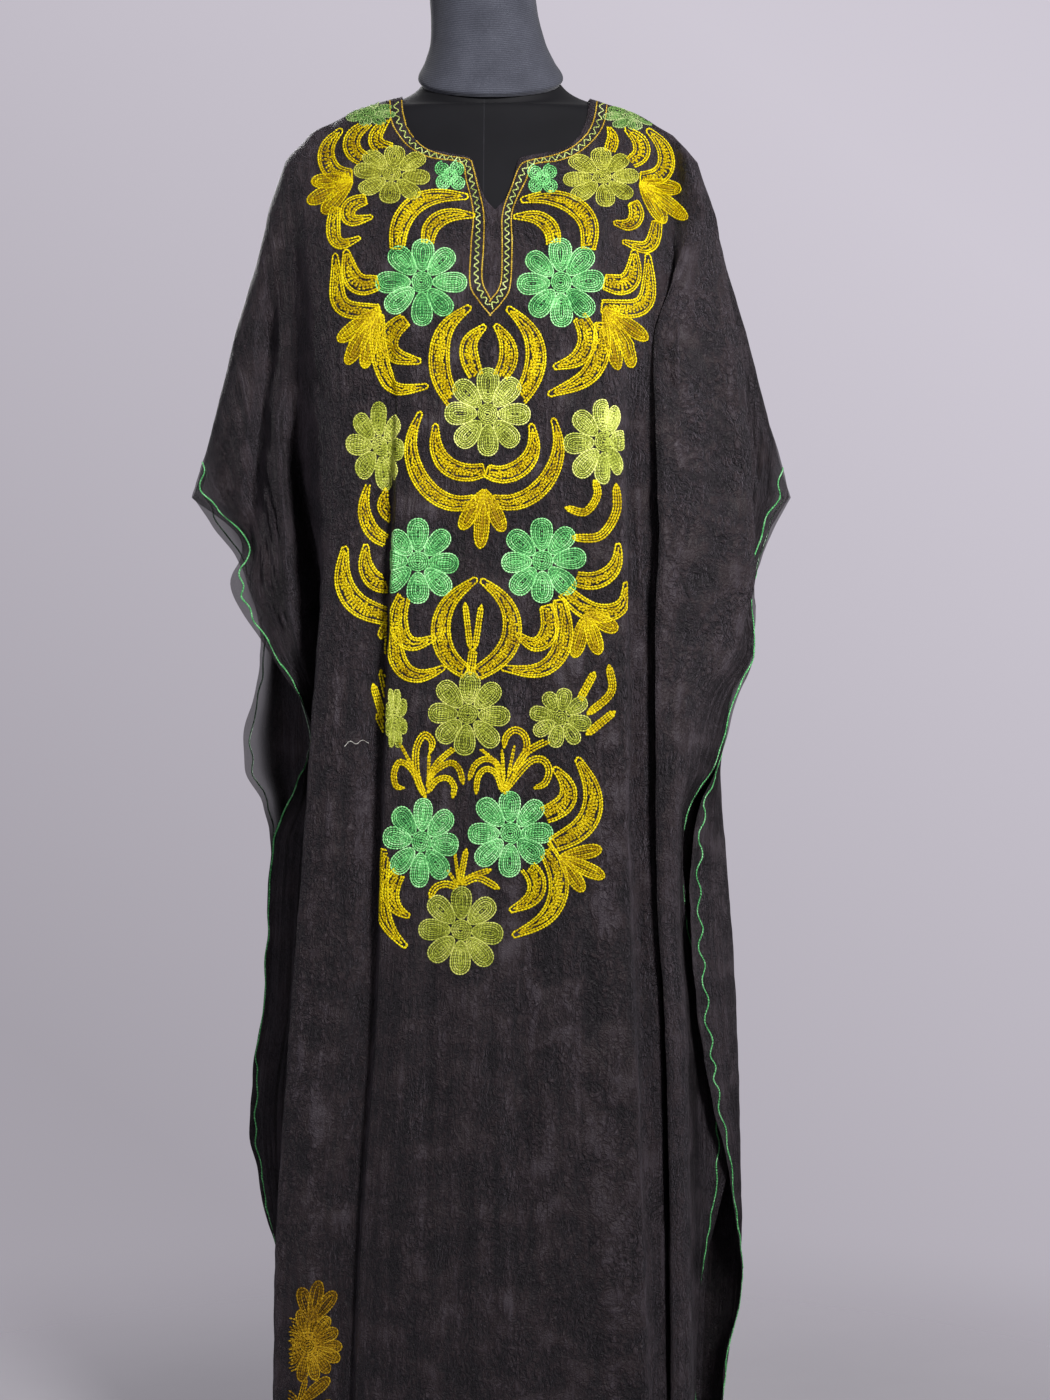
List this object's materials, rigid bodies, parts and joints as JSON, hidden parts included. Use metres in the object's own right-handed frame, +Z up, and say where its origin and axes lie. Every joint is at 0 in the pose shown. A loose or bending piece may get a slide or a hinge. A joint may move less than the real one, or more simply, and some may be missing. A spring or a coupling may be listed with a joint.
{
  "type": "kaftan on limbless dress form",
  "caption": "Full-length crepe kaftan with wide wing sleeves and chain-stitch flowers, hanging on a limbless dress form with a neck block, pole and round base.",
  "frame": {"origin": "on the floor, under the middle of the form and of the round base", "axes": "+Z up; the wearer's front faces -Y; +X to the right of someone looking at the front"},
  "size_m": [0.6272, 0.34, 1.606],
  "materials": {
    "crepe": "crinkled matt crepe",
    "form_cover": "matt jersey",
    "neck_cloth": "ribbed cloth",
    "iron": "satin enamel"
  },
  "bodies": {
    "root": {"front": "crepe", "back": "crepe", "form_torso": "form_cover", "form_neck": "neck_cloth", "stand_collar": "iron", "stand_pole": "iron", "stand_base": "iron"}
  },
  "joints": []
}
